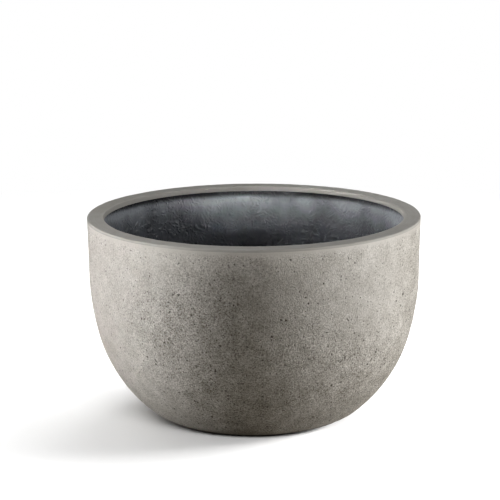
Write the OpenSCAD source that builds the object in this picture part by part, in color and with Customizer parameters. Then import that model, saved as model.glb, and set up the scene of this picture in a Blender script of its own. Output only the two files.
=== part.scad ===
// Round concrete bowl planter.
// A thin moulded shell: a cement facing skin over a glass-fibre laminate, an inward
// lip packed with mortar, a black waterproof coating inside, a drain bush with its
// plug in the middle of the floor, and rubber pads under the ground-flat base.
// Millimetres. +Z is up, the axis of the bowl is Z, and Z = 0 is the surface it stands on.

/* [Bowl] */
// Outside diameter at the top of the rim
outer_d = 600; // [540:5:700]
// Overall height, standing on its pads
height = 370; // [350:5:460]
// Lean of the upper wall from vertical, in degrees
wall_lean = 1.2; // [0:0.1:4]

/* [Curve of the wall] */
// Outside radius of the shoulder curve, where the straight wall starts to turn in
shoulder_r = 434; // [380:2:480]
// Slope at the lower end of the shoulder curve, in degrees from vertical
shoulder_end = 16.8; // [14:0.2:20]
// Outside radius of the belly curve
belly_r = 261; // [230:1:285]
// Slope at the lower end of the belly curve, in degrees from vertical
belly_end = 50.9; // [47:0.1:54]
// Outside radius of the heel curve, where the bowl turns under
heel_r = 99; // [85:1:115]
// Slope where the heel meets the ground-flat base, in degrees from vertical
heel_end = 76; // [72:0.5:82]

/* [Rim] */
// Width of the flat top of the rim
rim_w = 30.5; // [26:0.5:40]
// Height of the inward lip's face
lip_h = 9; // [8:0.5:20]
// Radius of the sanded edges of the rim
rim_edge_r = 2; // [1:0.25:3]

/* [Layers] */
// Thickness of the cement facing skin
skin_t = 4; // [3:0.5:6]
// Thickness of the glass-fibre laminate in the wall
laminate_t = 8; // [6:0.5:10]
// Thickness of the laminate in the floor
floor_laminate_t = 11; // [8:0.5:16]
// Thickness of the waterproof coating
coating_t = 1; // [0.8:0.1:2]

/* [Drain] */
// Bore of the drain bush
drain_d = 25; // [20:0.5:32]
// Wall of the drain bush
bush_wall = 3; // [2:0.5:5]
// Width of the bush's flange, outside its tube
bush_flange_w = 9; // [6:0.5:14]
// Thickness of the bush's flange
bush_flange_t = 2.5; // [2:0.5:4]
// Bevel on the upper edges of the bush
bush_bevel = 0.8; // [0.4:0.1:1.2]
// Gap all round between the plug and the bore
plug_clearance = 0.05; // [0.02:0.01:0.1]
// Gap between the plug's head and the bush's flange
seat_gap = 0.2; // [0.1:0.1:0.4]
// Thickness of the plug's head
plug_head_t = 5; // [4:0.5:8]
// Amount that the bush's flange shows round the plug's head
plug_head_inset = 3; // [2:0.5:5]
// Height of the plug's finger knob, above its head
plug_knob_h = 16; // [12:1:24]
// Diameter of the finger knob
plug_knob_d = 18; // [14:1:24]
// Diameter of the neck under the finger knob
plug_neck_d = 10; // [8:0.5:12]
// Radius of the rounds on the plug's head and at the foot of its neck
head_edge_r = 2; // [1:0.25:2.5]
// Radius of the rounds on the finger knob
knob_edge_r = 4; // [3:0.25:4.5]
// Bevel round the plug's lower end
plug_bevel = 1.2; // [0.8:0.1:1.6]
// Length of the plug's hollow end, below the sealing land
plug_land_h = 8; // [5:0.5:11]
// Distance from the base up to the plug's lower end
plug_recess = 1; // [0.5:0.5:3]
// Wall of the plug's hollow end
plug_wall = 3; // [2:0.5:4]

/* [Foot pads] */
// Number of pads
pad_count = 4; // [3:1:6]
// Diameter of a pad
pad_d = 30; // [20:1:40]
// Thickness of a pad, which lifts the base so that the drain can run
pad_h = 3; // [2:0.5:5]
// Distance from the edge of the flat base to the middle of a pad
pad_inset = 36; // [24:1:60]
// Bevel round the bottom edge of a pad
pad_bevel = 0.8; // [0.4:0.1:1.2]

/* [Hidden] */
$fn = 120;

// Slopes at the joins of the wall's curves, from the straight wall down to the base
slopes = [wall_lean, shoulder_end, belly_end, heel_end];
radii = [shoulder_r, belly_r, heel_r];

// Straight steps that each round stretch of a section is drawn with
wall_steps = [6, 12, 9];
rim_steps = 5;
head_steps = 4;
knob_steps = 8;

// Way from the centre of one of the wall's curves out to the point where it has a slope
function along(r, slope) = [r * cos(slope), -r * sin(slope)];
drops = [for (i = [0:2]) radii[i] * (sin(slopes[i + 1]) - sin(slopes[i]))];
base_z = pad_h;
straight_h = height - base_z - drops[0] - drops[1] - drops[2];
shoulder_at = [outer_d / 2 - straight_h * tan(wall_lean), height - straight_h];
shoulder_c = shoulder_at - along(shoulder_r, wall_lean);
belly_c = shoulder_c + along(shoulder_r - belly_r, shoulder_end);
heel_c = belly_c + along(belly_r - heel_r, belly_end);
centres = [shoulder_c, belly_c, heel_c];
base_r = heel_c[0] + heel_r * cos(heel_end);

// Heights and radii where the layers meet
skin_floor_z = base_z + skin_t;
laminate_floor_z = skin_floor_z + floor_laminate_t;
floor_z = laminate_floor_z + coating_t;
mouth_r = outer_d / 2 - rim_w;
lip_z = height - lip_h;
rim_bed_z = height - skin_t;
lip_skin_r = mouth_r + skin_t;
core_z = lip_z + coating_t;
laminate_depth = skin_t + laminate_t;
inner_depth = laminate_depth + coating_t;

// Drain
bore_r = drain_d / 2;
bush_r = bore_r + bush_wall;
flange_r = bush_r + bush_flange_w;
flange_z = floor_z + bush_flange_t;
plug_r = bore_r - plug_clearance;
head_r = flange_r - plug_head_inset;
head_z = flange_z + seat_gap;
head_top_z = head_z + plug_head_t;
plug_foot_z = base_z + plug_recess;

pad_ring_r = base_r - pad_inset;

// Points of an arc about c, from angle a to angle b, with or without its first point
function arc(c, r, a, b, steps, first = 0) = [for (i = [first:steps])
    let (angle = a + (b - a) * i / steps) c + r * [cos(angle), sin(angle)]];

// Radius of the straight wall, at a depth t inside the outer face and a height z
function wall_r(t, z) = outer_d / 2 - t / cos(wall_lean) - (height - z) * tan(wall_lean);

// The wall at a depth t inside the outer face, from z_top down to a floor at z_floor.
// It is the outer face's straight line and tangent arcs, drawn on smaller radii.
function wall(t, z_top, z_floor) =
    let (ends = [shoulder_end, belly_end, asin((heel_c[1] - z_floor) / (heel_r - t))])
    concat(
        [[wall_r(t, z_top), z_top]],
        [for (i = [0:2])
            each arc(centres[i], radii[i] - t, -slopes[i], -ends[i], wall_steps[i], min(i, 1))]);

function reversed(list) = [for (i = [len(list) - 1:-1:0]) list[i]];

// Solid of revolution from the points of half its section
module turned(points) { rotate_extrude() polygon(points); }

// Cement facing: the outside, the base, the flat of the rim and the lip's face
module concrete_skin() {
    edge = rim_edge_r;
    color("#b5b1aa") turned(concat(
        [[bush_r, base_z], [bush_r, skin_floor_z]],
        reversed(wall(skin_t, rim_bed_z, skin_floor_z)),
        [[lip_skin_r, rim_bed_z], [lip_skin_r, lip_z], [mouth_r, lip_z]],
        arc([mouth_r + edge, height - edge], edge, 180, 90, rim_steps),
        arc([wall_r(edge, height - edge), height - edge], edge, 90, -wall_lean, rim_steps),
        [for (p = wall(0, height, base_z)) if (p[1] < height) p]));
}

// Glass-fibre laminate that carries the skin, thicker in the floor
module fibre_laminate() {
    color("#8d8a7c") turned(concat(
        [[bush_r, skin_floor_z]],
        reversed(wall(skin_t, rim_bed_z, skin_floor_z)),
        wall(laminate_depth, rim_bed_z, laminate_floor_z),
        [[bush_r, laminate_floor_z]]));
}

// Lightweight mortar that packs the lip between the skin and the laminate
module rim_core() {
    color("#c9c5ba") turned([
        [lip_skin_r, core_z],
        [lip_skin_r, rim_bed_z],
        [wall_r(laminate_depth, rim_bed_z), rim_bed_z],
        [wall_r(laminate_depth, core_z), core_z]]);
}

// Black coating on the inside of the wall, under the lip and over the floor
module waterproof_coating() {
    color("#34373a") turned(concat(
        [[bush_r, laminate_floor_z]],
        reversed(wall(laminate_depth, core_z, laminate_floor_z)),
        [[lip_skin_r, core_z], [lip_skin_r, lip_z]],
        wall(inner_depth, lip_z, floor_z),
        [[bush_r, floor_z]]));
}

// Flanged bush through the floor, with its flange on the coating
module drain_bush() {
    color("#1f2022") turned([
        [bore_r, base_z],
        [bore_r, flange_z - bush_bevel],
        [bore_r + bush_bevel, flange_z],
        [flange_r - bush_bevel, flange_z],
        [flange_r, flange_z - bush_bevel],
        [flange_r, floor_z],
        [bush_r, floor_z],
        [bush_r, base_z]]);
}

// Rubber plug: a hollow end in the bore, a head over the flange and a knob to pull it by
module drain_plug() {
    hollow_z = head_z - plug_land_h;
    neck_r = plug_neck_d / 2;
    knob_r = plug_knob_d / 2;
    top_z = head_top_z + plug_knob_h;
    color("#2b2b2b") turned(concat(
        [[0, hollow_z], [plug_r - plug_wall, hollow_z], [plug_r - plug_wall, plug_foot_z]],
        [[plug_r - plug_bevel, plug_foot_z], [plug_r, plug_foot_z + plug_bevel]],
        [[plug_r, head_z], [head_r, head_z]],
        arc([head_r - head_edge_r, head_top_z - head_edge_r], head_edge_r, 0, 90, head_steps),
        arc([neck_r + head_edge_r, head_top_z + head_edge_r], head_edge_r, 270, 180, head_steps),
        [[neck_r, top_z - 2 * knob_edge_r]],
        arc([knob_r - knob_edge_r, top_z - knob_edge_r], knob_edge_r, -60, 90, knob_steps),
        [[0, top_z]]));
}

// Rubber pad under the base
module foot_pad(i) {
    color("#26272a") rotate(360 / pad_count * (i - 0.5)) translate([pad_ring_r, 0, 0])
        turned([[0, 0], [pad_d / 2 - pad_bevel, 0], [pad_d / 2, pad_bevel], [pad_d / 2, pad_h], [0, pad_h]]);
}

concrete_skin();
fibre_laminate();
rim_core();
waterproof_coating();
drain_bush();
drain_plug();
for (i = [1:pad_count])
    foot_pad(i);
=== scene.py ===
"""The looks of a round concrete bowl planter, laid over its fixed frame of solids.

Lengths here are millimetres until a mesh is made, and metres in Blender. +Z is up, the bowl's axis is
Z, and the bowl stands on Z = 0. A section is a line of (radius, height) points that is turned round Z.
"""

import math

import bmesh
import bpy
import numpy as np
from mathutils import Matrix, Vector


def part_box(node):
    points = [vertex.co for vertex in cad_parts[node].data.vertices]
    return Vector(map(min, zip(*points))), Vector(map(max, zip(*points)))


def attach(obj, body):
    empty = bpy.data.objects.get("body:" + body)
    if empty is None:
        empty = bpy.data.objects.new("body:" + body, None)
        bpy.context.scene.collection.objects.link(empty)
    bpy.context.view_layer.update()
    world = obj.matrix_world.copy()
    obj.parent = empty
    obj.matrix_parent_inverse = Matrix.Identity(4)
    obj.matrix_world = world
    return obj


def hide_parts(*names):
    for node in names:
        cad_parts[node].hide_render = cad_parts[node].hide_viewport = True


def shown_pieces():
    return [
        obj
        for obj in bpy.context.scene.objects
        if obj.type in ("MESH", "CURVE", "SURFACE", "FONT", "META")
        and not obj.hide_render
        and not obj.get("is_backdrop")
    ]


bl_info = {
    "name": "Concrete Bowl Planter",
    "version": (1, 0, 0),
    "blender": (4, 5, 0),
    "location": "3D View > Sidebar > Planter",
    "description": "Dresses the frame of a concrete bowl planter and sets up its studio",
    "category": "Object",
}

MM = 0.001
TAU = 2 * math.pi

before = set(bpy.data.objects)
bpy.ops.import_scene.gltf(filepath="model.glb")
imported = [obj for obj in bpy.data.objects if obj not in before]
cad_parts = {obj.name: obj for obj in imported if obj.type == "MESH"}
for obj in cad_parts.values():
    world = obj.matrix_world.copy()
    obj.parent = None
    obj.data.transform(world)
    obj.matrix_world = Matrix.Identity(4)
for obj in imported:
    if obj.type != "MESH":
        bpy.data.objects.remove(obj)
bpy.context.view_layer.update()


def linear(hex_colour):
    """An sRGB hex colour as linear red, green, blue and alpha.

    A channel up to 0.04045 is divided by 12.92, and above that it is ((c + 0.055) / 1.055) ** 2.4.
    """
    channels = [int(hex_colour[i : i + 2], 16) / 255 for i in (1, 3, 5)]
    return tuple(c / 12.92 if c <= 0.04045 else ((c + 0.055) / 1.055) ** 2.4 for c in channels) + (1.0,)


def node_box(name):
    """Lowest and highest corner of a node of the frame, in millimetres."""
    low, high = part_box(name)
    return np.array(low) / MM, np.array(high) / MM


def node_hole(name):
    """Radius of the round hole that a node has about the bowl's axis, in millimetres."""
    points = np.array([v.co[:2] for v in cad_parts[name].data.vertices])
    return np.linalg.norm(points, axis=-1).min() / MM


SKIN_LOW, SKIN_HIGH = node_box("concrete_skin")
COATING_HIGH = node_box("waterproof_coating")[1]
BUSH_HIGH = node_box("drain_bush")[1]
PLUG_LOW, PLUG_HIGH = node_box("drain_plug")
PAD_NODES = sorted(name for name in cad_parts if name.startswith("foot_pad_"))

# Thickness of the coating and of the bush's flange, which the boxes don't give
COATING_THICK = 1.0
FLANGE_THICK = 2.5

# Heights that the frame gives: the rim, the ground-flat base, the lip's lower edge and the floor
RIM_Z = SKIN_HIGH[2]
BASE_Z = SKIN_LOW[2]
LIP_Z = COATING_HIGH[2] - COATING_THICK
FLOOR_Z = BUSH_HIGH[2] - FLANGE_THICK

# Gap between the plug's flange and the bush's, and round the plug in its bore
PLUG_LIFT = 0.2
PLUG_CLEARANCE = 0.05

# Points round each turned piece of the drain, and round a foot pad
DRAIN_COLUMNS = 180
PAD_COLUMNS = 96

# The coating under the lip, by its depth below the lip's edge. It is painted near-black down to
# CORNER_SHADE_LINE. That is painted shade for the shadow under the lip's overhang, and it is gone by
# CORNER_SHADE_END. Below it is a pale band, partly a thin coat with the grey shell showing through and
# partly painted light for the light that falls on the upper wall. The band shows fully down to
# THIN_LIT_FULL and halves with every THIN_LIT_HALF below. Streaks make its edge ragged by
# THIN_LIT_RAGGED, and it wanders by THIN_LIT_UNEVEN round the bowl.
CORNER_SHADE_LINE = 5
CORNER_SHADE_END = 18
THIN_LIT_FULL = 20
THIN_LIT_HALF = 14
THIN_LIT_RAGGED = 3
THIN_LIT_UNEVEN = 7

# How far the pale wear of the rim's rounds reaches over its flat
EDGE_WEAR = 2.5

# The wall under the rim that the sanding disc ran over: bare of mottle down to the first depth, and
# mottled as the rest from the second
SANDED_BARE = 4
SANDED_END = 18

# Which stretch of the patterns of clouds and of coarse and fine faces the wall shows, in metres
# The clouds' stretch keeps their dark parts off the wall about 40 degrees to each side of the front. The
# wall is paler where the side lamps light it most, which is a little painted light
CLOUD_PLACE = (-1.9, 0.7, 1.2)
COARSE_PLACE = (3.7, -2.1, 1.0)

# Radii of the drain: the hole through the shell, which is the outside of the bush's tube, and its bore
DRAIN_R = node_hole("concrete_skin")
BORE_R = node_hole("drain_bush")


# ---------------------------------------------------------------- settings


def length(name, description, default, low=0.0, high=1000.0):
    """A length property in metres, from a default in millimetres."""
    return bpy.props.FloatProperty(
        name=name,
        description=description,
        default=default * MM,
        min=low * MM,
        max=high * MM,
        subtype="DISTANCE",
        unit="LENGTH",
        precision=4,
    )


def angle(name, description, default):
    """An angle property in radians, from a default in degrees."""
    return bpy.props.FloatProperty(
        name=name, description=description, default=math.radians(default), subtype="ANGLE", unit="ROTATION"
    )


def colour(name, description, default):
    """A colour property, from a default sRGB hex colour."""
    return bpy.props.FloatVectorProperty(
        name=name, description=description, default=linear(default), size=4, min=0, max=1, subtype="COLOR"
    )


def whole_number(name, description, default, low, high):
    """A property that is a whole number."""
    return bpy.props.IntProperty(name=name, description=description, default=default, min=low, max=high)


class PlanterShape(bpy.types.PropertyGroup):
    """Sizes of the shell that the frame's boxes don't give."""

    wall_lean: angle("Wall lean", "Lean of the upper wall from vertical", 1.2)
    shoulder_radius: length("Shoulder radius", "Radius where the wall starts to turn in", 434)
    shoulder_end: angle("Shoulder end", "Slope from vertical at the shoulder's lower end", 16.8)
    belly_radius: length("Belly radius", "Radius of the belly", 261)
    belly_end: angle("Belly end", "Slope from vertical at the belly's lower end", 50.9)
    heel_radius: length("Heel radius", "Radius where the bowl turns under", 99)
    heel_end: angle("Heel end", "Slope from vertical where the heel meets the base", 76)
    skin: length("Skin", "Thickness of the cement skin", 4)
    laminate: length("Laminate", "Thickness of the fibre laminate in the wall", 8)
    coating: length("Coating", "Thickness of the waterproof coating", COATING_THICK)
    rim_width: length("Rim width", "Width of the flat top of the rim", 30.5)
    rim_edge: length("Rim edge", "Radius of the rim's sanded edges", 2)


class PlanterFinish(bpy.types.PropertyGroup):
    """Sizes of what the making leaves on the surfaces."""

    columns: whole_number("Columns", "Points round the bowl, a multiple of six", 480, 60, 480)
    wall_rows: whole_number("Wall rows", "Rows of points down the outside, a multiple of six", 144, 24, 144)
    pit_radius: length("Air hole radius", "Usual radius of an air hole in the concrete", 1.0)
    pit_depth: length("Air hole depth", "Usual depth of an air hole", 1.7)
    pit_share: bpy.props.FloatProperty(
        name="Air holes", description="Share of the places that hold an air hole", default=0.7, min=0, max=1
    )
    smooth_band: length("Smooth band", "Height under the rim that the sanding left without holes", 12)
    wall_wave: length("Wall waves", "Height of the waves in the moulded wall", 0.25)
    rim_wave: length("Rim waves", "Height of the waves in the sanded rim", 0.12)
    mat_wrinkle: length("Mat wrinkles", "Height of the fibre mat's wrinkles under the coating", 0.4)


class PlanterColours(bpy.types.PropertyGroup):
    """Colours of the planter's materials."""

    concrete: colour("Concrete", "Moulded concrete face", "#CFCBC4")
    concrete_dark: colour("Concrete, dark", "Damp-looking clouds and specks in the concrete", "#A29D94")
    # Painted shade: the colour that the air holes' floors and the specks turn toward, for the shadow inside
    # them
    pore_shade: colour("Pores", "Inside of the air holes", "#5A544C")
    rim: colour("Rim", "Sanded rim", "#B3B1AC")
    rim_edge: colour("Rim edges", "Edges and lip, which the sanding left paler", "#D2CEC6")
    base: colour("Base", "Ground base", "#A29D94")
    coating: colour("Coating", "Waterproof coating", "#2A2D31")
    coating_brushed: colour("Coating, brushed", "Where the brush dragged the coating thinner", "#3B3F45")
    # coating_thin_lit: the pale band under the lip, partly a thin coat and partly painted light on the
    # upper wall
    coating_thin_lit: colour("Coating, thin", "Thin coat under the lip, where the grey shell shows", "#A1A5AB")
    laminate: colour("Laminate", "Glass-fibre laminate", "#9C998A")
    mortar: colour("Mortar", "Light mortar in the lip", "#CBC7BC")
    bush: colour("Bush", "Moulded drain bush", "#2B2C2E")
    plug: colour("Plug", "Rubber plug", "#262626")
    pad: colour("Pads", "Rubber pads", "#2C2D30")


# ---------------------------------------------------------------- sections


def even(start, end, spacing):
    """Evenly spaced values from start to end, both included, about spacing apart."""
    return np.linspace(start, end, max(2, round(abs(end - start) / spacing) + 1))


def line(start, end, spacing):
    """Points of a straight stretch of a section: start + t * (end - start)."""
    reach = even(0, math.dist(start, end), spacing)[:, None] / math.dist(start, end)
    return np.array(start) + reach * (np.array(end) - np.array(start))


def bend(centre, radius, start, end, steps):
    """Points of a round stretch of a section: centre + radius * (cos a, sin a), for a in degrees."""
    a = np.radians(np.linspace(start, end, steps + 1))
    return np.array(centre) + radius * np.stack([np.cos(a), np.sin(a)], axis=-1)


def joined(*stretches):
    """One section from its stretches, with the points that two neighbours share kept once."""
    points = np.concatenate([np.atleast_2d(np.array(s, float)) for s in stretches])
    step = np.linalg.norm(np.diff(points, axis=0), axis=-1)
    return points[np.concatenate([[True], step > 1e-6])]


def outside_wall(shape):
    """How the outside of the wall runs from the rim down: way along it, radius, height and slope.

    The slope from vertical keeps still down the straight part, and grows evenly with the way along
    each of the three arcs below it. A step along the wall takes sin(slope) of its length off the
    radius and cos(slope) off the height, so radius and height are running sums of short steps.
    """
    slopes = np.array([shape.wall_lean, shape.shoulder_end, shape.belly_end, shape.heel_end])
    radii = np.array([shape.shoulder_radius, shape.belly_radius, shape.heel_radius]) / MM
    drops = radii * np.diff(np.sin(slopes))
    straight = (RIM_Z - BASE_Z - drops.sum()) / math.cos(slopes[0])
    joins = np.cumsum([0, straight, *(radii * np.diff(slopes))])
    run = np.linspace(0, joins[-1], 12001)
    slope = np.interp(run, joins, [slopes[0], *slopes])
    middle = (slope[1:] + slope[:-1]) / 2
    step = np.diff(run)
    radius = SKIN_HIGH[0] - np.concatenate([[0], np.cumsum(np.sin(middle) * step)])
    height = RIM_Z - np.concatenate([[0], np.cumsum(np.cos(middle) * step)])
    return run, radius, height, slope


def at_wall(wall, run, depth):
    """Radius and height at a way along the wall and a depth inside its outside face.

    The depth goes along the face's inward normal, (-cos(slope), sin(slope)).
    """
    slope = np.interp(run, wall[0], wall[3])
    radius = np.interp(run, wall[0], wall[1]) - depth * np.cos(slope)
    height = np.interp(run, wall[0], wall[2]) + depth * np.sin(slope)
    return radius, height


def wall_ends(wall, depth, top, floor):
    """The ways along the wall at which a face at one depth meets the heights top and floor."""
    height = wall[2] + depth * np.sin(wall[3])
    return np.interp([-top, -floor], -height, wall[0])


def wall_line(wall, depth, top, floor, spacing):
    """Points of the wall's section at one depth, from the height top down to the height floor."""
    run = even(*wall_ends(wall, depth, top, floor), spacing)
    return np.stack(at_wall(wall, run, depth), axis=-1)


def about_axis(radius, turn, height):
    """Points by radius r, turn a round Z and height: x = r cos a, y = r sin a, z = height."""
    return np.stack([radius * np.cos(turn), radius * np.sin(turn), height + 0 * turn], axis=-1)


def turned(section, columns):
    """The section turned round Z, at an even step for each of the columns."""
    return about_axis(section[:, :1], np.arange(columns) * TAU / columns, section[:, 1:])


def inward(section):
    """Unit normals of a closed section that runs down its outer side, pointing into its solid."""
    way = np.roll(section, -1, axis=0) - np.roll(section, 1, axis=0)
    way /= np.linalg.norm(way, axis=-1, keepdims=True)
    return np.stack([way[:, 1], -way[:, 0]], axis=-1)


# ---------------------------------------------------------------- random surfaces


def waves(points, wavelength, seed, count=40):
    """A smooth random height at each point, mostly between -1.5 and 1.5.

    It is the sum of plane waves cos(k . p + phase) in random directions through space, with
    wavelengths from 0.7 to 1.4 times the one given, so it has no seam anywhere on the bowl.
    """
    rng = np.random.default_rng(seed)
    ways = rng.normal(size=(count, 3))
    ways *= (TAU / wavelength / rng.uniform(0.7, 1.4, count) / np.linalg.norm(ways, axis=-1))[:, None]
    total = np.zeros(points.shape[:-1])
    for way, phase in zip(ways, rng.uniform(0, TAU, count)):
        total += np.cos(points @ way + phase)
    return total / math.sqrt(count / 2)


def smooth_step(x):
    """0 below 0, 1 above 1, and 3x^2 - 2x^3 between."""
    x = np.clip(x, 0, 1)
    return x * x * (3 - 2 * x)


# ---------------------------------------------------------------- meshes


def planter_mesh(name, points, ring, slots=None, layers=None, sharp=35):
    """A mesh object from a grid of points in millimetres, rows by columns, closed round the columns.

    With ring, the last row joins the first. Without, the first and last rows are poles, and their
    points are merged. slots holds each row's material number, and layers named values at each point.
    """
    rows, columns = points.shape[:2]
    i, j = np.meshgrid(np.arange(rows if ring else rows - 1), np.arange(columns), indexing="ij")
    under, beside = (i + 1) % rows, (j + 1) % columns
    corners = np.stack(
        [i * columns + j, under * columns + j, under * columns + beside, i * columns + beside], axis=-1
    ).reshape(-1, 4)
    mesh = bpy.data.meshes.new(name)
    mesh.vertices.add(rows * columns)
    mesh.vertices.foreach_set("co", (points * MM).astype(np.float32).ravel())
    mesh.loops.add(corners.size)
    mesh.loops.foreach_set("vertex_index", corners.astype(np.int32).ravel())
    mesh.polygons.add(len(corners))
    mesh.polygons.foreach_set("loop_start", np.arange(0, corners.size, 4, dtype=np.int32))
    if slots is not None:
        mesh.polygons.foreach_set("material_index", np.array(slots, np.int32)[i].ravel())
    for layer, values in (layers or {}).items():
        attribute = mesh.attributes.new(layer, "FLOAT", "POINT")
        attribute.data.foreach_set("value", values.astype(np.float32).ravel())
    mesh.update(calc_edges=True)
    mesh.validate()
    if not ring:
        merge_poles(mesh)
    mesh.polygons.foreach_set("use_smooth", np.ones(len(mesh.polygons), bool))
    mesh.set_sharp_from_angle(angle=math.radians(sharp))
    piece = bpy.data.objects.new(name, mesh)
    bpy.context.scene.collection.objects.link(piece)
    return piece


def merge_poles(mesh):
    """Merges points that lie on each other, which closes a turned piece at its poles."""
    work = bmesh.new()
    work.from_mesh(mesh)
    bmesh.ops.remove_doubles(work, verts=work.verts, dist=1e-7)
    work.to_mesh(mesh)
    work.free()


def dress(piece, body, slot, node, *materials):
    """Puts a piece's materials on it, hangs it under the empty of its body and hides the node it stands
    for. slot is not used.
    """
    for material in materials:
        piece.data.materials.append(material)
    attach(piece, body)
    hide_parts(node)


# ---------------------------------------------------------------- the shell


def air_holes(finish, wall, run, turn, depth, pore_shade):
    """Opens air holes in the outside face, by moving the grid's own points.

    The wall is divided into cells of six by six points, and a hole takes the five by five inside a
    cell. The outer sixteen go to the hole's mouth, the next eight to the edge of its floor, and the
    one in the middle to the deepest place. A mouth is an ellipse in polar form,
    r = a b / sqrt((b cos t)^2 + (a sin t)^2), with a rough edge, and some are bent along their
    length. run and turn are the points' ways along and round the wall, changed in place. So are the
    points' depth and pore_shade, the share of painted shade that each point gets for the shadow in a hole.
    Nearly half of the holes are oval, and a few are worm-like. They are fewer near the foot and in some
    stretches of the wall.
    """
    cell, half = 6, 3
    least_gap, deepest = 1.2, 3.2
    oval_share, worm_share = 0.45, 0.07
    rng = np.random.default_rng(31)
    rows, columns = run.shape
    cell_i, cell_j = np.meshgrid(np.arange(rows // cell), np.arange(columns // cell), indexing="ij")
    middle_i, middle_j = cell * cell_i.ravel() + half, cell * cell_j.ravel() + half
    radius, height = at_wall(wall, run[middle_i, middle_j], 0)
    crowd = 1 + 0.75 * waves(about_axis(radius, turn[middle_i, middle_j], height), 70, 5)
    near_foot = smooth_step((height - BASE_Z - 20) / 90)
    chance = finish.pit_share * crowd * (0.35 + 0.65 * near_foot)
    clear = run[middle_i - half, middle_j] > finish.smooth_band / MM
    chosen = (rng.uniform(size=len(chance)) < chance) & clear
    middle_i, middle_j, radius = middle_i[chosen], middle_j[chosen], radius[chosen]
    count = len(radius)

    across = finish.pit_radius / MM * np.exp(rng.normal(0, 0.42, count)).clip(0.5, 2.6)
    kind = rng.uniform(size=count)
    stretch = np.where(kind < oval_share, rng.uniform(1.6, 3.4, count), rng.uniform(1, 1.5, count))
    stretch = np.where(kind < worm_share, rng.uniform(6, 11, count), stretch)
    long, short = across * np.sqrt(stretch), across / np.sqrt(stretch)
    lie = rng.normal(0, 0.9, count)
    hook = np.where(stretch > 1.5, rng.normal(0, 0.3, count), 0) / long
    deep = (finish.pit_depth / MM * rng.uniform(0.6, 1.45, count)).clip(max=deepest)

    half_high = half * (run[1, 0] - run[0, 0])
    half_wide = half * radius * TAU / columns
    room_i = (half_high - long - least_gap).clip(min=0)
    room_j = (half_wide - long - least_gap).clip(min=0)
    centre_run = run[middle_i, middle_j] + rng.uniform(-1, 1, count) * room_i
    centre_turn = turn[middle_i, middle_j] + rng.uniform(-1, 1, count) * room_j / radius

    p, q = np.meshgrid(np.arange(-2, 3), np.arange(-2, 3), indexing="ij")
    ring = np.maximum(abs(p), abs(q))
    share = np.array([0, 0.66, 1])[ring]
    sink = np.array([1.1, 0.9, 0])[ring]
    towards = np.arctan2(p, q)
    t = towards - lie[:, None, None]
    a, b = long[:, None, None], short[:, None, None]
    reach = a * b / np.sqrt((b * np.cos(t)) ** 2 + (a * np.sin(t)) ** 2)
    reach = reach * share * (1 + 0.22 * rng.uniform(-1, 1, (count, 5, 5)))
    swing = hook[:, None, None] * (reach * np.cos(t)) ** 2
    down = reach * np.sin(towards) + swing * np.cos(lie)[:, None, None]
    along = reach * np.cos(towards) - swing * np.sin(lie)[:, None, None]
    # The last row of points is the foot's edge, so the cells at the foot hold no hole
    free = middle_i + half < rows
    block = (middle_i[free, None, None] + p, middle_j[free, None, None] + q)
    run[block] = (centre_run[:, None, None] + down)[free]
    turn[block] = (centre_turn[:, None, None] + along / radius[:, None, None])[free]
    depth[block] += (deep[:, None, None] * sink)[free]
    # The floor of each hole gets painted shade, for the shadow inside it
    pore_shade[block] = ((ring < 2) * rng.uniform(0.35, 1, count)[:, None, None])[free]


def shell_section(shape):
    """The concrete skin's section apart from the outside wall, and the material of each of its rows.

    It starts in the drain hole, goes up the skin's hidden back, down the back of the lip, up the
    lip's face and over the rim to the top of the outside wall. The base, from the wall's foot back
    to the drain hole, comes apart. Each line ends with the spacing of its points, which is wide where
    nobody sees them.
    """
    wall = outside_wall(shape)
    skin, edge, bevel = shape.skin / MM, shape.rim_edge / MM, 0.4
    mouth = SKIN_HIGH[0] - shape.rim_width / MM
    behind = wall_line(wall, skin, RIM_Z - skin, BASE_Z + skin, 22)
    hole = (DRAIN_R, BASE_Z + skin)
    back = joined([(DRAIN_R, BASE_Z), hole], line(hole, behind[-1], 25), behind[::-1])
    lip_back = joined(line(back[-1], (mouth + skin, RIM_Z - skin), 6), [(mouth + skin, LIP_Z)])
    lean = math.degrees(shape.wall_lean)
    crown = at_wall(wall, wall_ends(wall, edge, RIM_Z - edge, BASE_Z)[0], edge)
    rim = joined(
        line((mouth + skin, LIP_Z), (mouth + bevel, LIP_Z), 2.5),
        line((mouth, LIP_Z + bevel), (mouth, RIM_Z - edge), 2.2),
        bend((mouth + edge, RIM_Z - edge), edge, 180, 90, 4),
        line((mouth + edge, RIM_Z), (crown[0], RIM_Z), 2.6),
        bend(crown, edge, 90, -lean, 4),
    )
    top = joined(back, lip_back, rim)
    foot = at_wall(wall, wall[0][-1], 0)
    base = line(foot, (DRAIN_R, BASE_Z), 18)[1:-1]
    return wall, top, base, len(top) - len(rim)


def edge_wear(shape, top, rim_start):
    """How worn each row of the top's section is: 1 on the lip's face and on the rim's two rounds.

    It falls to 0 over the next EDGE_WEAR millimetres of the rim's flat, and is 0 behind the lip. The
    outer round is worn less.
    """
    edge, mouth = shape.rim_edge / MM, SKIN_HIGH[0] - shape.rim_width / MM
    inner_round = 1 - smooth_step((top[:, 0] - mouth - edge) / EDGE_WEAR)
    outer_round = 1 - smooth_step((SKIN_HIGH[0] - edge - top[:, 0]) / EDGE_WEAR)
    shown = np.arange(len(top)) > rim_start
    return np.maximum(inner_round, 0.3 * outer_round) * shown


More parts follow.
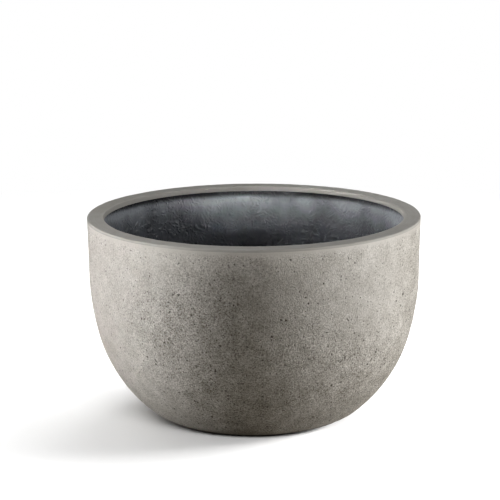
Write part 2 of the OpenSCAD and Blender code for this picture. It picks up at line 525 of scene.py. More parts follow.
def build_shell(shape, finish):
    """Points, row materials and point layers of the concrete skin, as one closed grid."""
    wall, top, base, rim_start = shell_section(shape)
    rows, columns = finish.wall_rows, finish.columns
    start = wall_ends(wall, 0, top[-1][1], BASE_Z)[0]
    run = np.repeat(np.linspace(start, wall[0][-1], rows + 1)[1:, None], columns, axis=1)
    turn = np.repeat(np.arange(columns)[None, :] * TAU / columns, rows, axis=0)
    depth, pore_shade = np.zeros(run.shape), np.zeros(run.shape)
    air_holes(finish, wall, run, turn, depth, pore_shade)

    radius, height = at_wall(wall, run, 0)
    face = about_axis(radius, turn, height)
    fade = smooth_step(run / 25) * smooth_step((wall[0][-1] - run) / 25)
    wave = 0.75 * waves(face, 190, 1) + 0.35 * waves(face, 60, 2) + 0.12 * waves(face, 17, 3)
    radius, height = at_wall(wall, run, depth + finish.wall_wave / MM * fade * np.maximum(wave + 1.4, 0))
    face = about_axis(radius, turn, height)

    crown = turned(top, columns)
    into = inward(np.concatenate([top, base]))[: len(top)]
    flat = turned(np.concatenate([into, into], axis=-1)[:, :2], columns)
    shown = (np.arange(len(top)) >= rim_start + 2)[:, None]
    wave = np.maximum(0.8 * waves(crown, 55, 11) + 0.5 * waves(crown, 14, 12) + 1.5, 0)
    crown = crown + flat * (finish.rim_wave / MM * shown * wave)[..., None]

    points = np.concatenate([crown, face, turned(base, columns)])
    slots = np.zeros(len(points), int)
    slots[rim_start : len(top)] = 1
    slots[len(top) + rows - 1 :] = 2
    spare_top, spare_base = np.zeros(crown.shape[:2]), np.zeros((len(base), columns))
    worn = spare_top + edge_wear(shape, top, rim_start)[:, None]
    # The pore_shade layer carries the painted shade inside the air holes
    layers = {"pore_shade": np.concatenate([spare_top, pore_shade, spare_base])}
    layers["edge"] = np.concatenate([worn, np.zeros(run.shape), spare_base])
    return points, slots, layers


# ---------------------------------------------------------------- materials


def add(tree, kind, inputs=None, **settings):
    """Adds a node with its settings. Each input, by name or number, is a link or a value.

    A link is a socket, or a node, which stands for its first output.
    """
    made = tree.nodes.new("ShaderNode" + kind)
    for name, value in settings.items():
        setattr(made, name, value)
    for name, value in (inputs or {}).items():
        if isinstance(value, bpy.types.Node):
            value = value.outputs[0]
        if isinstance(value, bpy.types.NodeSocket):
            tree.links.new(value, made.inputs[name])
        else:
            made.inputs[name].default_value = value
    return made


def per_mm(size):
    """The scale of a pattern on Object coordinates, which are metres, whose cells are size millimetres."""
    return 1 / (size * MM)


def new_material(name):
    """An empty material and its node tree, with its Object coordinates."""
    material = bpy.data.materials.new(name)
    material.use_nodes = True
    tree = material.node_tree
    tree.nodes.clear()
    return material, tree, add(tree, "TexCoord").outputs["Object"]


def finish_material(tree, shader):
    """Links a shader to the material's output."""
    add(tree, "OutputMaterial", {"Surface": shader})


def finish_face(tree, tone, height, depth, shine, strength=1):
    """Ends a material with a shader in one tone, on a face that height raises by up to depth millimetres.

    shine holds the shader's other inputs, such as its roughness, and strength is the bump's.
    """
    bump = add(tree, "Bump", {"Strength": strength, "Distance": depth * MM, "Height": height})
    finish_material(tree, add(tree, "BsdfPrincipled", {"Base Color": tone, "Normal": bump, **shine}))


def patches(tree, place, size, window, values, detail, roughness=0.5):
    """Soft random patches of size millimetres, from the first of the values to the second.

    The noise is even below the window's low end and above its high end, and runs evenly between.
    """
    grain = {"Scale": per_mm(size), "Detail": detail, "Roughness": roughness}
    noise = add(tree, "TexNoise", {"Vector": place, **grain})
    ends = {"From Min": window[0], "From Max": window[1], "To Min": values[0], "To Max": values[1]}
    return add(tree, "MapRange", {"Value": noise, **ends})


def speckles(tree, place, size, share):
    """Dark specks of many sizes, one to a cell of size millimetres; 1 in a speck and 0 around it.

    Each cell has its own random colour. Its red gives the speck's reach, as a share of the cell that
    grows with its square, and its green how dark the speck is. The specks are painted shade, for the
    shadow in pinholes too small for the mesh.
    """
    cells = add(tree, "TexVoronoi", {"Vector": place, "Scale": per_mm(size)})
    chance = add(tree, "SeparateColor", {"Color": cells.outputs["Color"]})
    reach = add(tree, "Math", {0: chance.outputs[0], 1: 2}, operation="POWER")
    reach = add(tree, "Math", {0: reach, 1: share, 2: 0.03}, operation="MULTIPLY_ADD")
    away = add(tree, "Math", {0: cells.outputs["Distance"], 1: reach}, operation="DIVIDE")
    inside = add(
        tree,
        "MapRange",
        {"Value": away, "From Min": 0.7, "From Max": 1.2, "To Min": 1, "To Max": 0},
        interpolation_type="SMOOTHSTEP",
    )
    return add(tree, "Math", {0: inside, 1: chance.outputs[1]}, operation="MULTIPLY")


def moulded_concrete(colours):
    """Glass-fibre concrete, cast against a mould and brushed.

    The eye sees a warm grey with a little sheen and damp-looking clouds, a fine mottle of 2 to 4 mm
    that is mostly colour and a little shape, and dark specks of all sizes where pores are nearly
    closed. The specks and the floors of the air holes are painted shade: they turn toward a dark colour
    for the shadow inside them. The mottle, the specks and the shape are stronger in some broad stretches
    than in others, and fade under the rim, where the sanding disc also ran over the wall.
    """
    material, tree, place = new_material("moulded_concrete")
    # Random clouds, placed by CLOUD_PLACE so that the wall is paler where the side light is brightest: a
    # little painted light
    shifted = add(tree, "VectorMath", {0: place, 1: CLOUD_PLACE}, operation="ADD")
    cloudy = patches(tree, shifted, 120, (0.36, 0.66), (0, 0.34), 3, 0.55)
    blotches = add(tree, "TexNoise", {"Vector": place, "Scale": per_mm(26), "Detail": 2, "Roughness": 0.5})
    mottle = add(tree, "TexNoise", {"Vector": place, "Scale": per_mm(2.7), "Detail": 2, "Roughness": 0.7})
    grain = add(tree, "TexNoise", {"Vector": place, "Scale": per_mm(2.2), "Detail": 1, "Roughness": 0.6})
    height = add(tree, "SeparateXYZ", {"Vector": place}).outputs["Z"]
    moulded = add(
        tree,
        "MapRange",
        {"Value": height, "From Min": (RIM_Z - SANDED_BARE) * MM, "From Max": (RIM_Z - SANDED_END) * MM},
        interpolation_type="SMOOTHSTEP",
    )
    shifted = add(tree, "VectorMath", {0: place, 1: COARSE_PLACE}, operation="ADD")
    coarse = patches(tree, shifted, 350, (0.4, 0.6), (0.8, 1.6), 1)
    coarse = add(tree, "Math", {0: coarse, 1: moulded}, operation="MULTIPLY")
    warp = add(tree, "VectorMath", {0: mottle.outputs["Color"], "Scale": 0.006}, operation="SCALE")
    bent = add(tree, "VectorMath", {0: place, 1: warp}, operation="ADD")
    # The specks are painted shade for pinholes too small for the mesh
    large, small = speckles(tree, bent, 8, 0.26), speckles(tree, bent, 3.6, 0.36)
    speck = add(tree, "Math", {0: large, 1: small}, operation="ADD")
    speck = add(tree, "Math", {0: speck, 1: coarse}, operation="MULTIPLY")
    pore_shade = add(tree, "Attribute", attribute_name="pore_shade").outputs["Fac"]

    mottled = add(
        tree,
        "MapRange",
        {"Value": mottle, "From Min": 0.34, "From Max": 0.66, "To Min": -0.5, "To Max": 0.76},
    )
    mottled = add(tree, "Math", {0: mottled, 1: coarse}, operation="MULTIPLY")
    both = add(tree, "Math", {0: cloudy, 1: mottled}, operation="ADD")
    blotchy = add(tree, "Math", {0: blotches, 1: 0.5}, operation="SUBTRACT")
    blotchy = add(tree, "Math", {0: blotchy, 1: coarse}, operation="MULTIPLY")
    shade = add(tree, "Math", {0: blotchy, 1: 1.15, 2: both}, operation="MULTIPLY_ADD")
    tone = add(
        tree,
        "Mix",
        {0: shade, 6: colours.concrete, 7: colours.concrete_dark},
        data_type="RGBA",
        clamp_factor=False,
    )
    # Painted shade: the specks and the holes' floors turn toward the pore_shade colour
    dark = add(tree, "Math", {0: speck, 1: 1.2, 2: pore_shade}, operation="MULTIPLY_ADD")
    tone = add(tree, "Mix", {0: dark, 6: tone.outputs[2], 7: colours.pore_shade}, data_type="RGBA")

    relief = add(tree, "Math", {0: grain, 1: 0.8, 2: mottle}, operation="MULTIPLY_ADD")
    relief = add(tree, "Math", {0: speck, 1: -0.5, 2: relief}, operation="MULTIPLY_ADD")
    relief = add(tree, "Math", {0: relief, 1: coarse}, operation="MULTIPLY")
    shine = {"Roughness": 0.6, "IOR": 1.5, "Specular IOR Level": 0.6}
    finish_face(tree, tone.outputs[2], relief, 0.7, shine)
    return material


def sanded_concrete(colours):
    """The same concrete after the rim was sanded flat.

    It is smoother and a little darker than the moulded face, with fine streaks round the rim and
    edges that the sanding left paler. The streaks are noise that changes fourteen times faster with
    the height and with the distance from the axis than along the rim.
    """
    material, tree, place = new_material("sanded_concrete")
    apart = add(tree, "SeparateXYZ", {"Vector": place})
    level = {"X": apart.outputs["X"], "Y": apart.outputs["Y"]}
    out = add(tree, "VectorMath", {0: add(tree, "CombineXYZ", level)}, operation="LENGTH")
    across = add(tree, "Math", {0: out.outputs["Value"], 1: 14}, operation="MULTIPLY")
    up = add(tree, "Math", {0: apart.outputs["Z"], 1: 14, 2: across}, operation="MULTIPLY_ADD")
    along = add(tree, "CombineXYZ", {**level, "Z": up})
    streaks = add(tree, "TexNoise", {"Vector": along, "Scale": per_mm(45), "Detail": 4, "Roughness": 0.65})
    clouds = add(tree, "TexNoise", {"Vector": place, "Scale": per_mm(40), "Detail": 3})
    both = add(tree, "Math", {0: streaks, 1: 1.2, 2: clouds}, operation="MULTIPLY_ADD")
    shade = add(tree, "MapRange", {"Value": both, "From Min": 0.8, "From Max": 1.5, "To Max": 0.8})
    tone = add(tree, "Mix", {0: shade, 6: colours.rim, 7: colours.concrete_dark}, data_type="RGBA")
    edge = add(tree, "Attribute", attribute_name="edge").outputs["Fac"]
    worn = add(tree, "Math", {0: edge, 1: 0.35}, operation="MULTIPLY")
    tone = add(tree, "Mix", {0: worn, 6: tone.outputs[2], 7: colours.rim_edge}, data_type="RGBA")
    finish_face(tree, tone.outputs[2], streaks, 0.12, {"Roughness": 0.7, "IOR": 1.45})
    return material


def ground_concrete(colours):
    """Concrete ground flat with a coarse disc, which leaves fine sand grains showing in pale paste."""
    material, tree, place = new_material("ground_concrete")
    sand = add(tree, "TexVoronoi", {"Vector": place, "Scale": per_mm(2.6)})
    clouds = add(tree, "TexNoise", {"Vector": place, "Scale": per_mm(50), "Detail": 4})
    tint = add(tree, "SeparateColor", {"Color": sand.outputs["Color"]})
    both = add(tree, "Math", {0: tint.outputs[0], 1: 0.5, 2: clouds}, operation="MULTIPLY_ADD")
    shade = add(tree, "MapRange", {"Value": both, "From Min": 0.3, "From Max": 1.1})
    tone = add(tree, "Mix", {0: shade, 6: colours.base, 7: colours.concrete_dark}, data_type="RGBA")
    shine = {"Roughness": 0.75, "IOR": 1.45}
    finish_face(tree, tone.outputs[2], sand.outputs["Distance"], 0.2, shine, 0.6)
    return material


def brushed_coating(colours):
    """Black bitumen-rubber coating, brushed over the glass mat.

    It is a bluish near-black with a satin shine. Right under the lip it is painted near-black, which is
    painted shade for the shadow of the lip's overhang. Just below that, a pale band runs down the wall in
    soft streaks, stronger in some stretches than in others. The band is partly a thin coat with the grey
    shell showing through and partly painted light for the light that falls on the upper wall. The mat's
    strands and knots show through the coat as wrinkles.
    """
    material, tree, place = new_material("brushed_waterproof_coating")
    height = add(tree, "SeparateXYZ", {"Vector": place}).outputs["Z"]
    stretch = add(tree, "VectorMath", {0: place, 1: (1, 1, 0.5)}, operation="MULTIPLY")
    brush = add(tree, "TexNoise", {"Vector": stretch, "Scale": per_mm(26), "Detail": 3, "Roughness": 0.5})
    warp = add(tree, "TexNoise", {"Vector": place, "Scale": per_mm(30), "Detail": 2})
    warp = add(tree, "VectorMath", {0: warp.outputs["Color"], "Scale": 0.03}, operation="SCALE")
    bent = add(tree, "VectorMath", {0: place, 1: warp}, operation="ADD")
    strands = add(
        tree,
        "TexNoise",
        {"Vector": bent, "Scale": per_mm(6.5), "Detail": 3, "Roughness": 0.8},
        noise_type="RIDGED_MULTIFRACTAL",
    )
    knots = add(tree, "TexVoronoi", {"Vector": bent, "Scale": per_mm(9)}, feature="SMOOTH_F1")
    knot = add(
        tree,
        "MapRange",
        {"Value": knots.outputs["Distance"], "From Min": 0.1, "From Max": 0.38, "To Min": 1, "To Max": 0},
        interpolation_type="SMOOTHSTEP",
    )
    where = patches(tree, place, 45, (0.35, 0.6), (0.4, 1), 1)
    lumpy = add(tree, "Math", {0: knot, 1: 0.4, 2: strands}, operation="MULTIPLY_ADD")
    lumpy = add(tree, "Math", {0: lumpy, 1: where}, operation="MULTIPLY")
    relief = add(tree, "Math", {0: brush, 1: 0.25, 2: lumpy}, operation="MULTIPLY_ADD")

    # The pale band, partly thin coat and partly painted light: 1 down to THIN_LIT_FULL, streak by streak,
    # and halved by every THIN_LIT_HALF below
    ragged, wander = THIN_LIT_RAGGED * MM, THIN_LIT_UNEVEN * MM
    streak = add(
        tree,
        "MapRange",
        {"Value": brush, "From Min": 0.3, "From Max": 0.7, "To Min": -ragged, "To Max": ragged},
    )
    uneven = patches(tree, place, 75, (0.3, 0.7), (-wander, wander), 2)
    down = add(tree, "Math", {0: (LIP_Z - THIN_LIT_FULL) * MM, 1: height}, operation="SUBTRACT")
    down = add(tree, "Math", {0: down, 1: streak}, operation="SUBTRACT")
    down = add(tree, "Math", {0: down, 1: uneven}, operation="SUBTRACT")
    halves = add(tree, "Math", {0: down, 1: THIN_LIT_HALF * MM}, operation="DIVIDE")
    halves = add(tree, "Math", {0: halves, 1: 0}, operation="MAXIMUM")
    thin = add(tree, "Math", {0: 0.5, 1: halves}, operation="POWER")
    # Painted shade under the lip's overhang: out_of_corner_shade is 0.05 right under the lip and 1 below
    # CORNER_SHADE_END
    bottom, top = (LIP_Z - CORNER_SHADE_END) * MM, (LIP_Z - CORNER_SHADE_LINE) * MM
    out_of_corner_shade = add(
        tree,
        "MapRange",
        {"Value": height, "From Min": bottom, "From Max": top, "To Min": 1, "To Max": 0.05},
        interpolation_type="SMOOTHSTEP",
    )
    thin = add(tree, "Math", {0: thin, 1: out_of_corner_shade}, operation="MULTIPLY")
    # The pale band, which is partly painted light, is stronger in some broad patches than in others
    band_strength = patches(tree, stretch, 48, (0.35, 0.65), (0.65, 1.4), 1)
    thin = add(tree, "Math", {0: thin, 1: band_strength}, operation="MULTIPLY")
    dragged = add(tree, "MapRange", {"Value": brush, "From Min": 0.35, "From Max": 0.75, "To Max": 0.7})
    tone = add(tree, "Mix", {0: dragged, 6: colours.coating, 7: colours.coating_brushed}, data_type="RGBA")
    tone = add(tree, "Mix", {0: thin, 6: tone.outputs[2], 7: colours.coating_thin_lit}, data_type="RGBA")
    # Painted shade: near-black #141518 right under the lip, for the shadow of its overhang
    tone = add(tree, "Mix", {0: out_of_corner_shade, 6: linear("#141518"), 7: tone.outputs[2]}, data_type="RGBA")
    finish_face(tree, tone.outputs[2], relief, 3.9, {"Roughness": 0.38, "IOR": 1.5})
    return material


def glass_laminate(colours):
    """Cement pressed into glass mat: a rough greenish grey in which the strands show."""
    material, tree, place = new_material("glass_fibre_laminate")
    noise = {"Vector": place, "Scale": per_mm(9), "Detail": 3}
    strands = add(tree, "TexNoise", noise, noise_type="RIDGED_MULTIFRACTAL")
    tone = add(tree, "Mix", {0: strands, 6: colours.laminate, 7: linear("#B4B2A6")}, data_type="RGBA")
    finish_face(tree, tone.outputs[2], strands, 0.5, {"Roughness": 0.85}, 0.8)
    return material


def light_mortar(colours):
    """Mortar with foamed beads: pale, crumbly and full of small round hollows."""
    material, tree, place = new_material("light_mortar")
    beads = add(tree, "TexVoronoi", {"Vector": place, "Scale": per_mm(3)}).outputs["Distance"]
    tone = add(tree, "Mix", {0: beads, 6: linear("#A8A49A"), 7: colours.mortar}, data_type="RGBA")
    finish_face(tree, tone.outputs[2], beads, 0.6, {"Roughness": 0.9}, 0.8)
    return material


def moulded_black(name, base, pale, grain, relief, roughness, ior):
    """A moulded black part: fine spark-eroded grain from its mould, and a little dust in it.

    The real grain is about 0.1 mm, which is too fine to show, so it is drawn several times as coarse.
    """
    material, tree, place = new_material(name)
    fine = add(tree, "TexNoise", {"Vector": place, "Scale": per_mm(grain), "Detail": 3, "Roughness": 0.6})
    dusty = patches(tree, place, 12, (0.45, 0.75), (0, 0.5), 4)
    tone = add(tree, "Mix", {0: dusty, 6: base, 7: linear(pale)}, data_type="RGBA")
    finish_face(tree, tone.outputs[2], fine, relief, {"Roughness": roughness, "IOR": ior}, 0.7)
    return material


# ---------------------------------------------------------------- pieces


class PLANTER_OT_concrete_skin(bpy.types.Operator):
    """Build the concrete skin: outside face with its air holes, rim, lip and base"""

    bl_idname = "planter.concrete_skin"
    bl_label = "Concrete Skin"

    def execute(self, context):
        scene = context.scene
        points, slots, layers = build_shell(scene.planter_shape, scene.planter_finish)
        piece = planter_mesh("concrete_skin_face", points, True, slots, layers)
        colours = scene.planter_colours
        dress(
            piece,
            "bowl",
            "concrete",
            "concrete_skin",
            moulded_concrete(colours),
            sanded_concrete(colours),
            ground_concrete(colours),
        )
        return {"FINISHED"}


class PLANTER_OT_coating(bpy.types.Operator):
    """Build the black coating, with the glass mat's wrinkles showing through it"""

    bl_idname = "planter.waterproof_coating"
    bl_label = "Waterproof Coating"

    def execute(self, context):
        scene = context.scene
        shape, finish = scene.planter_shape, scene.planter_finish
        wall = outside_wall(shape)
        under, thin = (shape.skin + shape.laminate) / MM, shape.coating / MM
        face = under + thin
        lip = SKIN_HIGH[0] - shape.rim_width / MM + shape.skin / MM
        inner = wall_line(wall, face, LIP_Z, FLOOR_Z, 2.9)
        outer = wall_line(wall, under, LIP_Z + thin, FLOOR_Z - thin, 25)
        floor = line((DRAIN_R, FLOOR_Z), inner[-1], 4)
        shown = joined(floor, inner[::-1], line(inner[0], (lip + 0.5, LIP_Z), 3))
        under_floor = line(outer[-1], (DRAIN_R, FLOOR_Z - thin), 25)
        hidden = joined([(lip, LIP_Z), (lip, LIP_Z + thin)], outer, under_floor)
        section = np.concatenate([shown, hidden])
        points = turned(section, finish.columns)
        into = turned(inward(section), finish.columns)
        radius, height = section[:, 0], section[:, 1]
        seen = np.arange(len(section)) < len(shown)
        # The wrinkles fade out towards the bush's flange and the lip
        free = smooth_step((radius - BUSH_HIGH[0] - 1) / 12) * smooth_step((LIP_Z - height) / 6)
        ridge = 0.7 - np.abs(waves(points, 19, 21))
        lump = np.maximum(ridge, -0.4) * (0.6 + 0.4 * waves(points, 90, 22)) + 0.5 * waves(points, 55, 23)
        raised = finish.mat_wrinkle / MM * np.clip(lump, -0.9, 2.2)
        points = points - into * (raised * (seen * free)[:, None])[..., None]
        piece = planter_mesh("coating_face", points, True)
        dress(piece, "bowl", "coating", "waterproof_coating", brushed_coating(scene.planter_colours))
        return {"FINISHED"}


class PLANTER_OT_drain_bush(bpy.types.Operator):
    """Build the flanged drain bush"""

    bl_idname = "planter.drain_bush"
    bl_label = "Drain Bush"

    def execute(self, context):
        flange, top = BUSH_HIGH[0], BUSH_HIGH[2]
        edge = 0.8
        section = joined(
            bend((flange - edge, top - edge), edge, 90, 0, 5),
            [(flange, FLOOR_Z), (DRAIN_R, FLOOR_Z), (DRAIN_R, BASE_Z), (BORE_R, BASE_Z)],
            line((BORE_R, BASE_Z), (BORE_R, top - edge), 2),
            bend((BORE_R + edge, top - edge), edge, 180, 90, 5),
            line((BORE_R + edge, top), (flange - edge, top), 2),
        )[:-1]
        piece = planter_mesh("drain_bush_moulding", turned(section, DRAIN_COLUMNS), True)
        colours = context.scene.planter_colours
        plastic = moulded_black("moulded_polypropylene", colours.bush, "#4A4B4D", 0.8, 0.05, 0.45, 1.49)
        dress(piece, "bowl", "bush_plastic", "drain_bush", plastic)
        return {"FINISHED"}


class PLANTER_OT_drain_plug(bpy.types.Operator):
    """Build the rubber drain plug, with its ribbed finger knob"""

    bl_idname = "planter.drain_plug"
    bl_label = "Drain Plug"

    def execute(self, context):
        head, top, foot = PLUG_HIGH[0], PLUG_HIGH[2], PLUG_LOW[2]
        seat = BUSH_HIGH[2] + PLUG_LIFT
        head_top, hollow_top = seat + 5, seat - 8
        body = BORE_R - PLUG_CLEARANCE
        hollow, bevel = body - 3, 1.2
        knob, neck, edge, round_off = 9.0, 5.0, 2.0, 4.0
        ribs, rib_deep = 20, 0.35
        section = joined(
            line((0, top), (knob - round_off, top), 0.8),
            bend((knob - round_off, top - round_off), round_off, 90, -60, 14),
            line((neck, top - 2 * round_off), (neck, head_top + edge), 0.8),
            bend((neck + edge, head_top + edge), edge, 180, 270, 6),
            line((neck + edge, head_top), (head - edge, head_top), 1.2),
            bend((head - edge, head_top - edge), edge, 90, 0, 6),
            [(head, seat), (body, seat)],
            line((body, hollow_top), (body, foot + bevel), 1.5),
            [(body - bevel, foot), (hollow, foot), (hollow, hollow_top), (0, hollow_top)],
        )
        points = turned(section, DRAIN_COLUMNS)
        a = np.arange(DRAIN_COLUMNS) * TAU / DRAIN_COLUMNS
        height = section[:, 1]
        grip = smooth_step((height - top + 8) / 2) * smooth_step((top - 1.2 - height) / 2)
        rib = rib_deep * grip[:, None] * smooth_step(0.5 - 0.9 * np.cos(ribs * a))
        points[..., :2] *= (1 - rib / np.maximum(section[:, :1], 1))[..., None]
        piece = planter_mesh("drain_plug_moulding", points, False)
        colours = context.scene.planter_colours
        rubber = moulded_black("moulded_plug_rubber", colours.plug, "#45433F", 0.7, 0.04, 0.62, 1.52)
        dress(piece, "plug", "plug_rubber", "drain_plug", rubber)
        return {"FINISHED"}


class PLANTER_OT_foot_pads(bpy.types.Operator):
    """Build the rubber pads under the base, each with rings moulded in its underside"""

    bl_idname = "planter.foot_pads"
    bl_label = "Foot Pads"

    def execute(self, context):
        colours = context.scene.planter_colours
        rubber = moulded_black("moulded_pad_rubber", colours.pad, "#57544E", 0.7, 0.05, 0.7, 1.52)
        edge, bevel = 0.8, 0.3
        ring_deep, ring_pitch, border = 0.45, 3.6, 2.5
        for name in PAD_NODES:
            low, high = node_box(name)
            centre, radius, thick = (low + high) / 2, (high[0] - low[0]) / 2, high[2] - low[2]
            across = even(0, radius - edge - 0.6, 0.35)
            groove = ring_deep * smooth_step(np.cos(across * TAU / ring_pitch) * 1.6 - 0.6)
            groove = groove * (across < radius - border)
            section = joined(
                [(0, thick), (radius - bevel, thick), (radius, thick - bevel)],
                bend((radius - edge, edge), edge, 0, -90, 6),
                np.stack([across, groove], axis=-1)[::-1],
            )
            points = turned(section, PAD_COLUMNS) + np.array([centre[0], centre[1], low[2]])
            piece = planter_mesh(name + "_moulding", points, False, sharp=50)
            dress(piece, "bowl", "pad_rubber", name, rubber)
        return {"FINISHED"}


class PLANTER_OT_hidden_layers(bpy.types.Operator):
    """Give the layers inside the shell their materials"""

    bl_idname = "planter.hidden_layers"
    bl_label = "Hidden Layers"

    def execute(self, context):
        colours = context.scene.planter_colours
        layers = {"fibre_laminate": glass_laminate, "rim_core": light_mortar}
        for name, material in layers.items():
            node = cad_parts[name]
            node.data.materials.clear()
            node.data.materials.append(material(colours))
        return {"FINISHED"}


# ---------------------------------------------------------------- studio


# The camera, as the outline in the photograph gives it: distance and height in metres
CAMERA_DISTANCE = 4.8
CAMERA_ELEVATION = 12.239
CAMERA_ROLL = -0.324
CAMERA_LENS = 191.57
CAMERA_TARGET = Vector((-0.0073, 0, 0.3048))

FLOOR_HALF = 20.0

# Places that several lamps are turned to
WALL_AIM = (0, 0, 0.25)
FAR_LIP_AIM = (0, 0.27, 0.36)
FLOOR_AIM = (0, 0, 0)

# Lamps: azimuth from the camera towards +X, elevation, distance, width, height, watts, aim, what they
# light, and the beam in degrees where a grid narrows it
LAMPS = {
    "left_low": (-90, -1.5, 1.9, 0.6, 0.4, 9.2, WALL_AIM, "planter"),
    "left_middle": (-83, 25, 1.9, 0.6, 0.6, 13.4, WALL_AIM, "planter"),
    "left_high": (-65, 50, 1.9, 0.6, 0.6, 2.6, WALL_AIM, "planter"),
    "left_grid": (-65, 20, 2.2, 0.44, 0.7, 0.4, WALL_AIM, "planter", 8),
    "right_low": (78, -1.5, 1.9, 0.6, 0.4, 16.6, WALL_AIM, "planter"),
    "right_middle": (76, 25, 1.9, 0.6, 0.6, 12.5, WALL_AIM, "planter"),
    "back_fill": (160, 20, 2.2, 1.6, 0.5, 5.5, (0, 0, 0.2), "planter"),
    "into_bowl": (90, 70, 2.2, 0.2, 0.2, 0.2, (0, 0, 0.03), "inside", 9),
    "front_strip": (0, 13, 2.6, 0.9, 0.15, 6.6, (0, -0.27, 0.37), "top"),
    "far_lip": (-20, 11, 3.1, 0.7, 0.15, 0.05, FAR_LIP_AIM, "top", 16),
    "far_middle": (0, 11, 3.1, 0.15, 0.15, 0.016, FAR_LIP_AIM, "top", 8),
    "far_inside": (0, 8, 2.9, 0.15, 0.15, 0.068, (0, 0.27, 0.33), "inside", 5),
    "floor_right": (96, 18, 2.2, 1.1, 0.5, 108.0, FLOOR_AIM, "floor"),
    "floor_overhead": (180, 45, 2.6, 4, 3, 56.8, FLOOR_AIM, "floor"),
    "floor_back": (140, 57, 2.2, 2.4, 2.4, 52.0, FLOOR_AIM, "floor"),
    "floor_front": (0, 30, 2.2, 1.4, 0.5, 33.2, FLOOR_AIM, "floor"),
    "floor_left": (-90, 45, 2.6, 4, 3, 9.1, FLOOR_AIM, "floor"),
}

# The pieces that the lamps for the inside light
INSIDE_PIECES = ("coating_face", "drain_bush_moulding", "drain_plug_moulding")

# The even light all round, and how pale the floor is to the camera and to the light it gives back
AMBIENT = 0.01
FLOOR_SEEN = "#FFFFFF"
FLOOR_BOUNCE = "#5C574F"

# How far from the bowl, in metres, the lit floor starts and ends to turn into plain white for the camera
FLOOR_LIT = 1.1
FLOOR_PLAIN = 2.2

# A black card in front of the bowl, which keeps the front strip off all but the top of the wall
FLAG_AWAY = 0.9
FLAG_HALF = 0.9
FLAG_TOP = 0.49
FLAG_FOOT = 0.1


def round_about(azimuth, elevation):
    """Unit vector from the bowl towards a place at an azimuth from the camera's side and an elevation."""
    a, e = math.radians(azimuth), math.radians(elevation)
    return Vector((math.sin(a) * math.cos(e), -math.cos(a) * math.cos(e), math.sin(e)))


def add_lamp(name, azimuth, elevation, distance, width, height, watts, aim, lights, beam=180):
    """A rectangular softbox turned towards its aim, that lights one group of objects.

    Only the planter throws shadows in its light, but for the lamps that light the top, which the flag
    also stops. A beam under 180 degrees stands for a grid on the softbox.
    """
    data = bpy.data.lights.new(name, "AREA")
    data.shape = "RECTANGLE"
    data.size, data.size_y = width, height
    data.energy = watts
    lamp = bpy.data.objects.new(name, data)
    bpy.context.scene.collection.objects.link(lamp)
    lamp.location = Vector(aim) + distance * round_about(azimuth, elevation)
    lamp.rotation_euler = (lamp.location - Vector(aim)).to_track_quat("Z", "Y").to_euler()
    data.spread = math.radians(beam)
    lamp.light_linking.receiver_collection = bpy.data.collections["lit_" + lights]
    if lights != "top":
        lamp.light_linking.blocker_collection = bpy.data.collections["lit_planter"]


def plane(name, corners, material):
    """A flat piece of the studio, from its four corners in metres."""
    mesh = bpy.data.meshes.new(name)
    mesh.from_pydata(corners, [], [(0, 1, 2, 3)])
    mesh.materials.append(material)
    piece = bpy.data.objects.new(name, mesh)
    bpy.context.scene.collection.objects.link(piece)
    piece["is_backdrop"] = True
    return piece


def add_camera():
    """The camera: back along its elevation from the target, rolled about its own axis."""
    back = round_about(0, CAMERA_ELEVATION)
    level = Vector((1, 0, 0))
    lift = back.cross(level)
    roll = math.radians(CAMERA_ROLL)
    right = math.cos(roll) * level + math.sin(roll) * lift
    up = math.cos(roll) * lift - math.sin(roll) * level
    data = bpy.data.cameras.new("camera")
    data.lens = CAMERA_LENS
    camera = bpy.data.objects.new("camera", data)
    bpy.context.scene.collection.objects.link(camera)
    camera.location = CAMERA_TARGET + CAMERA_DISTANCE * back
    camera.rotation_euler = Matrix((right, up, back)).transposed().to_euler()
    bpy.context.scene.camera = camera


def seen_by_camera(tree):
    """1 for what the camera sees, straight or through glass, and 0 for light that falls on something."""
    path = add(tree, "LightPath")
    rays = {0: path.outputs["Is Camera Ray"], 1: path.outputs["Is Transmission Ray"]}
    return add(tree, "Math", rays, operation="MAXIMUM")


def pale_floor():
    """A matt floor that looks white to the camera where it is lit, and keeps the bowl's shadow.

    Away from the bowl it is plain white to the camera, like a backdrop, whatever light reaches it.
    """
    material, tree, place = new_material("pale_studio_floor")
    seen = seen_by_camera(tree)
    tones = {6: linear(FLOOR_BOUNCE), 7: linear(FLOOR_SEEN)}
    tone = add(tree, "Mix", {0: seen, **tones}, data_type="RGBA")
    away = add(tree, "VectorMath", {0: place}, operation="LENGTH")
    plain = add(
        tree,
        "MapRange",
        {"Value": away.outputs["Value"], "From Min": FLOOR_LIT, "From Max": FLOOR_PLAIN},
        interpolation_type="SMOOTHSTEP",
    )
    plain = add(tree, "Math", {0: plain, 1: seen}, operation="MULTIPLY")
    lit = add(tree, "BsdfDiffuse", {"Color": tone.outputs[2]})
    white = add(tree, "Emission", {"Color": (1, 1, 1, 1), "Strength": 1})
    finish_material(tree, add(tree, "MixShader", {0: plain, 1: lit, 2: white}))
    return material


def black_card():
    """Matt black card, which takes light away and gives none back."""
    material, tree, _ = new_material("black_card")
    finish_material(tree, add(tree, "BsdfDiffuse", {"Color": (0, 0, 0, 1)}))
    return material


def studio_world():
    """White behind everything that the camera sees, and a weak even light on the bowl."""
    world = bpy.data.worlds.new("studio")
    world.use_nodes = True
    tree = world.node_tree
    tree.nodes.clear()
    strength = add(tree, "MapRange", {"Value": seen_by_camera(tree), "To Min": AMBIENT, "To Max": 1})
    light = add(tree, "Background", {"Color": (1, 1, 1, 1), "Strength": strength})
    add(tree, "OutputWorld", {"Surface": light})
    bpy.context.scene.world = world


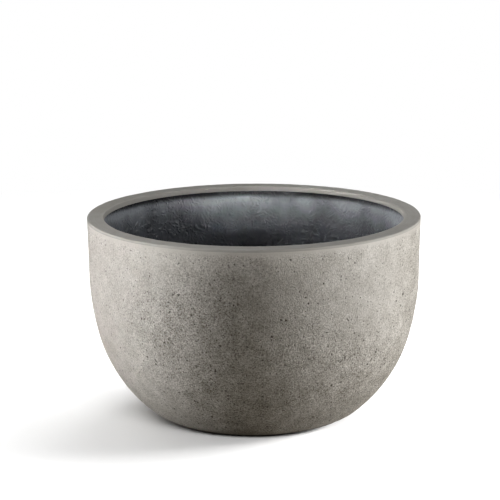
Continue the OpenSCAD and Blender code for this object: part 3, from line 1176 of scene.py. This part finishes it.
class PLANTER_OT_studio(bpy.types.Operator):
    """Set up the floor, the lamps, the pale surroundings and the camera"""

    bl_idname = "planter.studio"
    bl_label = "Studio"

    def execute(self, context):
        groups = ("planter", "top", "inside", "floor")
        lit = {name: bpy.data.collections.new("lit_" + name) for name in groups}
        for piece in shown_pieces():
            lit["planter"].objects.link(piece)
            lit["top"].objects.link(piece)
        for name in INSIDE_PIECES:
            lit["inside"].objects.link(bpy.data.objects[name])
        half = FLOOR_HALF
        corners = [(-half, -half, 0), (half, -half, 0), (half, half, 0), (-half, half, 0)]
        lit["floor"].objects.link(plane("studio_floor", corners, pale_floor()))
        half, away, foot, top = FLAG_HALF, -FLAG_AWAY, FLAG_FOOT, FLAG_TOP
        corners = [(-half, away, foot), (half, away, foot), (half, away, top), (-half, away, top)]
        flag = plane("black_flag", corners, black_card())
        flag.visible_camera = flag.visible_glossy = flag.visible_diffuse = False
        for name, settings in LAMPS.items():
            add_lamp(name, *settings)
        studio_world()
        add_camera()
        context.scene.view_settings.view_transform = "Standard"
        return {"FINISHED"}


class PLANTER_PT_panel(bpy.types.Panel):
    """Sidebar panel with the planter's pieces and settings"""

    bl_label = "Concrete Bowl Planter"
    bl_idname = "PLANTER_PT_panel"
    bl_space_type = "VIEW_3D"
    bl_region_type = "UI"
    bl_category = "Planter"

    def draw(self, context):
        for operator in OPERATORS:
            self.layout.operator(operator.bl_idname)
        for name, group in GROUPS.items():
            column = self.layout.column(align=True)
            for setting in group.__annotations__:
                column.prop(getattr(context.scene, name), setting)


GROUPS = {"planter_shape": PlanterShape, "planter_finish": PlanterFinish, "planter_colours": PlanterColours}
OPERATORS = (
    PLANTER_OT_concrete_skin,
    PLANTER_OT_coating,
    PLANTER_OT_drain_bush,
    PLANTER_OT_drain_plug,
    PLANTER_OT_foot_pads,
    PLANTER_OT_hidden_layers,
    PLANTER_OT_studio,
)


def register():
    """Registers the settings, the operators and the panel."""
    for name, group in GROUPS.items():
        bpy.utils.register_class(group)
        setattr(bpy.types.Scene, name, bpy.props.PointerProperty(type=group))
    for item in (*OPERATORS, PLANTER_PT_panel):
        bpy.utils.register_class(item)


def unregister():
    """Takes back what register() did."""
    for item in reversed((*OPERATORS, PLANTER_PT_panel)):
        bpy.utils.unregister_class(item)
    for name, group in GROUPS.items():
        delattr(bpy.types.Scene, name)
        bpy.utils.unregister_class(group)


def main():
    """Builds every piece and the studio."""
    register()
    bpy.ops.planter.concrete_skin()
    bpy.ops.planter.waterproof_coating()
    bpy.ops.planter.drain_bush()
    bpy.ops.planter.drain_plug()
    bpy.ops.planter.foot_pads()
    bpy.ops.planter.hidden_layers()
    bpy.ops.planter.studio()


if __name__ == "__main__":
    main()
